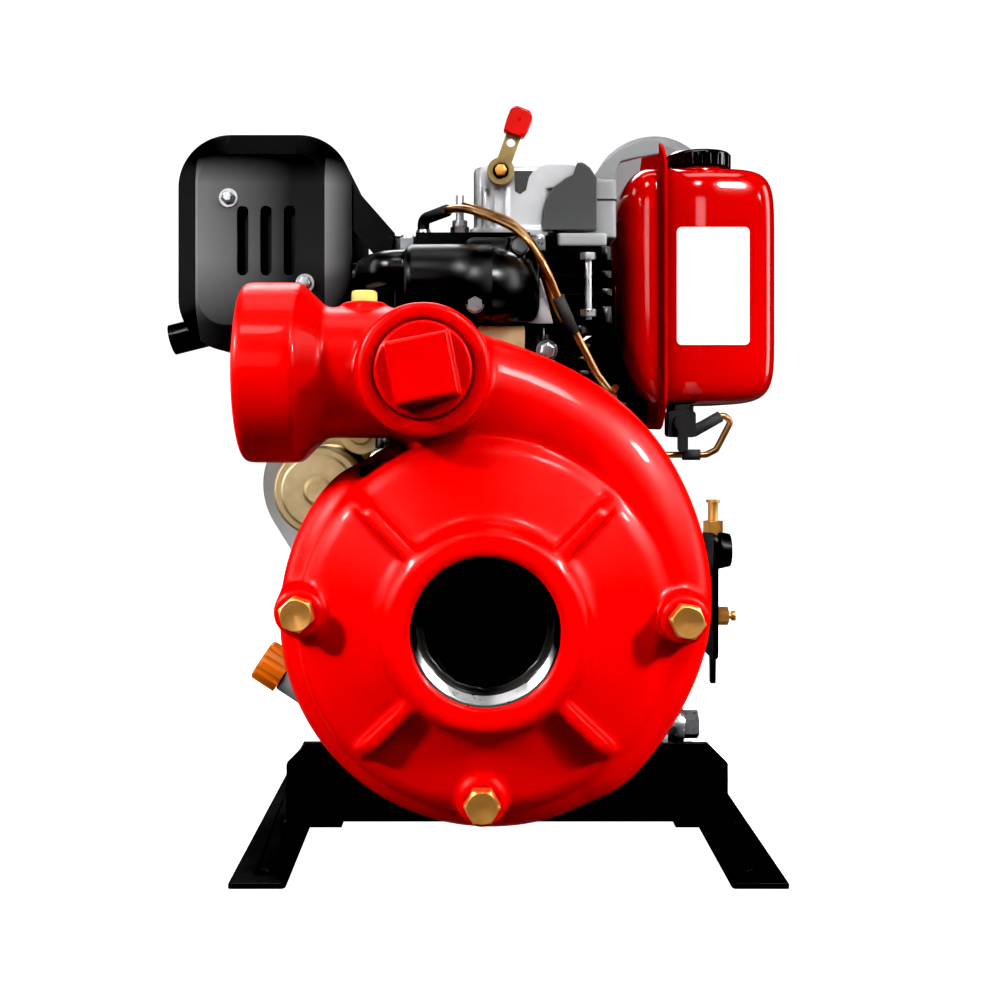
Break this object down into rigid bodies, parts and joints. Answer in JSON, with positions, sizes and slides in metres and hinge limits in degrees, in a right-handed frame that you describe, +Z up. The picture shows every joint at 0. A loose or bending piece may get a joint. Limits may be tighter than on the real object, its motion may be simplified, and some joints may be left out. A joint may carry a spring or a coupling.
{
  "type": "portable fire pump",
  "caption": "Engine-driven centrifugal fire pump: cast volute with threaded suction and discharge ports, flanged to an air-cooled diesel engine on a folded steel base.",
  "frame": {"origin": "on the floor, at the centre of the four foot holes", "axes": "+X to the right when facing the suction port, +Y back along the shaft from pump to engine, +Z up"},
  "size_m": [0.4839, 0.57, 0.587],
  "materials": {
    "pump_red": "glossy red enamel over cast iron",
    "tank_red": "glossy red enamel on pressed steel",
    "brass": "bright turned brass",
    "copper": "drawn copper tube, lightly tarnished",
    "gold_zinc": "yellow zinc-plated steel",
    "bright_zinc": "bright zinc-plated steel",
    "steel": "machined steel",
    "cast_iron": "bare cast iron",
    "aluminium": "die-cast aluminium, bead blasted",
    "grey_paint": "light grey paint on cast aluminium",
    "black_paint": "semi-gloss black paint on folded steel",
    "black_heat": "black heat-resistant paint",
    "black_plastic": "black moulded plastic",
    "orange_plastic": "orange moulded plastic",
    "black_rubber": "black rubber",
    "gasket": "fibre gasket sheet",
    "bronze": "cast bronze"
  },
  "bodies": {
    "root": {"volute_casing": "pump_red", "outlet_plug": "pump_red", "brass_plugs": "brass", "casing_gasket": "gasket", "rear_adapter": "pump_red", "casing_bolts": "bright_zinc", "adapter_bolts": "bright_zinc", "seal_seat": "steel", "base_rails": "black_paint", "engine_tray": "black_paint", "rubber_mounts": "black_rubber", "frame_bolts": "bright_zinc", "crankcase": "aluminium", "timing_cover": "aluminium", "cover_bolts": "bright_zinc", "main_bearings": "steel", "connecting_rod": "steel", "piston": "aluminium", "valve_train": "steel", "rocker_arms": "steel", "cylinder_barrel": "black_heat", "cylinder_head": "black_heat", "head_nuts": "bright_zinc", "rocker_cover": "aluminium", "fan_housing": "grey_paint", "recoil_cover": "black_paint", "starter_motor": "gold_zinc", "starter_solenoid": "gold_zinc", "exhaust_manifold": "black_heat", "exhaust_bolts": "bright_zinc", "muffler_body": "black_heat", "muffler_shield": "black_heat", "muffler_stay": "black_heat", "fuel_tank": "tank_red", "fuel_cock": "black_plastic", "tank_bracket": "black_paint", "intake_elbow": "aluminium", "air_cleaner": "grey_paint", "injector": "bright_zinc", "injection_pump": "steel", "injection_pipe": "copper", "fuel_pipe": "copper", "control_plate": "black_paint", "speed_screws": "brass", "oil_drain_plug": "bright_zinc"},
    "crank": {"crankshaft": "steel", "rod_big_end": "steel", "flywheel": "cast_iron", "impeller": "bronze", "impeller_nut": "steel", "seal_head": "steel"},
    "cam": {"camshaft": "steel"},
    "starter_pulley": {"recoil_pulley": "black_plastic"},
    "starter_handle": {"pull_handle": "black_plastic"},
    "decompressor": {"decompression_lever": "gold_zinc"},
    "tank_cap": {"fuel_cap": "black_plastic"},
    "cock_handle": {"fuel_cock_lever": "black_plastic"},
    "throttle": {"speed_lever": "black_paint"},
    "oil_cap": {"oil_filler_cap": "orange_plastic"}
  },
  "joints": [
    {"name": "crank_spin", "type": "hinge", "parent": "root", "child": "crank", "pos_m": [-0.017, 0, 0.199], "axis": [0, 1, 0], "continuous": true},
    {"name": "cam_spin", "type": "hinge", "parent": "root", "child": "cam", "pos_m": [0.02602, 0, 0.13756], "axis": [0, 1, 0], "continuous": true},
    {"name": "handle_pull", "type": "slide", "parent": "root", "child": "starter_handle", "axis": [0, 0, 1], "range_m": [0, 0.45]},
    {"name": "pulley_spin", "type": "hinge", "parent": "root", "child": "starter_pulley", "pos_m": [-0.017, 0.154, 0.199], "axis": [0, 1, 0], "range_deg": [0, 576]},
    {"name": "decompressor_turn", "type": "hinge", "parent": "root", "child": "decompressor", "pos_m": [-0.004, -0.121, 0.505], "axis": [0, 1, 0], "range_deg": [0, 70]},
    {"name": "cap_turn", "type": "hinge", "parent": "root", "child": "tank_cap", "pos_m": [0.16, -0.022, 0.53], "axis": [0, 0, 1], "range_deg": [0, 90]},
    {"name": "cock_turn", "type": "hinge", "parent": "root", "child": "cock_handle", "pos_m": [0.142, -0.051, 0.319], "axis": [0, -1, 0], "range_deg": [0, 90]},
    {"name": "throttle_swing", "type": "hinge", "parent": "root", "child": "throttle", "pos_m": [0.172, -0.008, 0.213], "axis": [1, 0, 0], "range_deg": [0, 35]},
    {"name": "oil_cap_turn", "type": "hinge", "parent": "root", "child": "oil_cap", "pos_m": [-0.176, -0.04, 0.117], "axis": [-0.8374, 0, 0.5466], "range_deg": [0, 90]}
  ],
  "couplings": [
    {"joint": "cam_spin", "follows": "crank_spin", "ratio": -0.5},
    {"joint": "pulley_spin", "follows": "handle_pull", "rad_per_m": 22.222}
  ]
}
